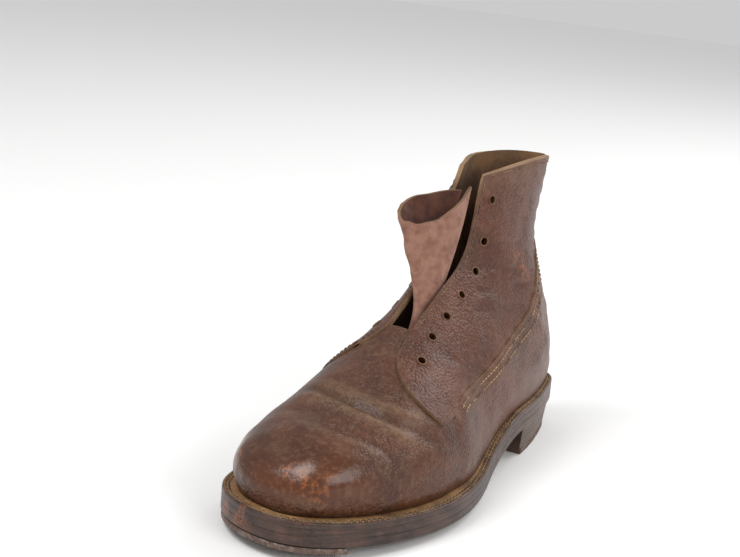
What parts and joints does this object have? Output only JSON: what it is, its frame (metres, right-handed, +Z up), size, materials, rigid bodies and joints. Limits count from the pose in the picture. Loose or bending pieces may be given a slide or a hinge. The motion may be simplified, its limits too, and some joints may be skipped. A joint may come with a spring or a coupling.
{
  "type": "hobnailed ankle work boot",
  "caption": "Worn brown leather derby ankle boot with an open throat and a standing tongue, on a welted leather sole with studs, a toe plate and a shod heel.",
  "frame": {"origin": "middle of the box around the boot in plan, on the ground under the heel plate and the ball studs", "axes": "+Z up; toe towards -Y and heel towards +Y; the outer (lateral) side of the left foot towards +X"},
  "size_m": [0.1172, 0.3, 0.1764],
  "materials": {
    "upper_leather": "pebble-grained brown leather, dull polish, scuffed at the toe",
    "tongue_suede": "rough suede side of split leather, matte",
    "insole_leather": "worn vegetable-tanned insole leather, dark",
    "welt_leather": "tan welt leather, waxed, stitched, dirty",
    "sole_leather": "edge-trimmed sole leather, grey-brown, greasy and worn",
    "heel_leather": "stacked heel leather, worn edge",
    "plate_iron": "dull iron with brown rust",
    "nail_steel": "worn nail heads, bright on the crown and rusty at the rim"
  },
  "bodies": {
    "root": {"outsole": "sole_leather", "midsole": "sole_leather", "welt": "welt_leather", "insole": "insole_leather", "upper": "upper_leather", "tongue": "tongue_suede", "heel_stack": "heel_leather", "heel_plate": "plate_iron", "toe_plate": "plate_iron", "heel_nail_1": "nail_steel", "heel_nail_2": "nail_steel", "heel_nail_3": "nail_steel", "heel_nail_4": "nail_steel", "heel_nail_5": "nail_steel", "toe_nail_1": "nail_steel", "toe_nail_2": "nail_steel", "toe_nail_3": "nail_steel", "toe_nail_4": "nail_steel", "toe_nail_5": "nail_steel", "hobnail_01": "nail_steel", "hobnail_02": "nail_steel", "hobnail_03": "nail_steel", "hobnail_04": "nail_steel", "hobnail_05": "nail_steel", "hobnail_06": "nail_steel", "hobnail_07": "nail_steel", "hobnail_08": "nail_steel", "hobnail_09": "nail_steel", "hobnail_10": "nail_steel", "hobnail_11": "nail_steel", "hobnail_12": "nail_steel", "hobnail_13": "nail_steel", "hobnail_14": "nail_steel", "hobnail_15": "nail_steel", "hobnail_16": "nail_steel", "hobnail_17": "nail_steel", "hobnail_18": "nail_steel"}
  },
  "joints": []
}
